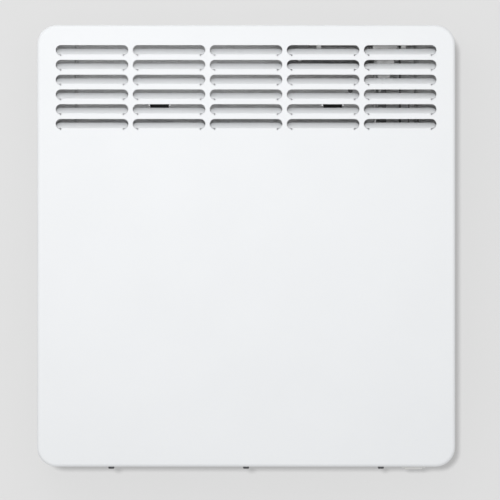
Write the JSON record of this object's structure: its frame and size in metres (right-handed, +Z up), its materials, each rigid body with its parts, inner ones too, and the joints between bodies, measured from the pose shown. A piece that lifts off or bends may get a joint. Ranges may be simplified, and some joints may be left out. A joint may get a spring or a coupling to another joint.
{
  "type": "wall convector heater",
  "caption": "White wall convector heater with a louvred steel cover, a finned element, top controls, a mains switch below and a hook-on wall bracket",
  "frame": {"origin": "on the wall, at the centre of the bracket's four screw holes", "axes": "+X right as seen from the room, +Y into the wall, +Z up"},
  "size_m": [0.426, 0.1, 0.4533],
  "materials": {
    "white_enamel": "fine satin powder coat",
    "bare_zinc": "galvanised sheet",
    "black_enamel": "satin powder coat",
    "aluminium": "rolled",
    "element_steel": "heat-tinted satin",
    "ceramic": "unglazed",
    "dark_screws": "blackened",
    "soft_rubber": "matte",
    "white_moulding": "fine grain",
    "grey_moulding": "fine grain",
    "dark_moulding": "fine grain",
    "smoked_lens": "polished",
    "board_green": "lacquered",
    "brass_plain": "plain",
    "wire_sleeve": "glass-fibre sleeve"
  },
  "bodies": {
    "bracket": {"wall_bracket": "black_enamel"},
    "heater": {"front_cover": "white_enamel", "back_panel": "bare_zinc", "inlet_grille": "white_enamel", "cover_screws": "dark_screws", "panel_screws": "bare_zinc", "rivets": "aluminium", "buffer_pads": "soft_rubber", "heating_tube": "element_steel", "heat_fins": "aluminium", "ceramic_bushes": "ceramic", "tube_terminals": "element_steel", "element_bracket": "bare_zinc", "heat_shield": "bare_zinc", "partition_plate": "bare_zinc", "control_shelf": "bare_zinc", "thermal_cutout": "dark_moulding", "cutout_bracket": "bare_zinc", "control_housing": "white_moulding", "control_bezel": "white_moulding", "display_lens": "smoked_lens", "lcd_display": "smoked_lens", "circuit_board": "board_green", "tact_switches": "dark_moulding", "board_parts": "dark_moulding", "board_screws": "bare_zinc", "terminal_block": "white_moulding", "terminal_screws": "brass_plain", "earth_stud": "bare_zinc", "cord_gland": "white_moulding", "gland_nut": "white_moulding", "wire_grommets": "soft_rubber", "wiring": "wire_sleeve", "room_sensor": "white_moulding", "switch_frame": "white_moulding", "switch_blades": "brass_plain"},
    "rocker": {"switch_rocker": "white_moulding"},
    "minus_button": {"button_minus": "grey_moulding"},
    "plus_button": {"button_plus": "grey_moulding"},
    "mode_button": {"button_mode": "grey_moulding"},
    "timer_button": {"button_timer": "grey_moulding"}
  },
  "joints": [
    {"name": "lift_off", "type": "slide", "parent": "bracket", "child": "heater", "axis": [0, 0, 1], "range_m": [0, 0.01]},
    {"name": "switch_rock", "type": "hinge", "parent": "heater", "child": "rocker", "pos_m": [0.171, -0.078, -0.222], "axis": [1, 0, 0], "range_deg": [0, 16]},
    {"name": "minus_press", "type": "slide", "parent": "heater", "child": "minus_button", "axis": [0, 0, -1], "range_m": [0, 0.0005], "stiffness_N_per_m": 800},
    {"name": "plus_press", "type": "slide", "parent": "heater", "child": "plus_button", "axis": [0, 0, -1], "range_m": [0, 0.0005], "stiffness_N_per_m": 800},
    {"name": "mode_press", "type": "slide", "parent": "heater", "child": "mode_button", "axis": [0, 0, -1], "range_m": [0, 0.0005], "stiffness_N_per_m": 800},
    {"name": "timer_press", "type": "slide", "parent": "heater", "child": "timer_button", "axis": [0, 0, -1], "range_m": [0, 0.0005], "stiffness_N_per_m": 800}
  ]
}
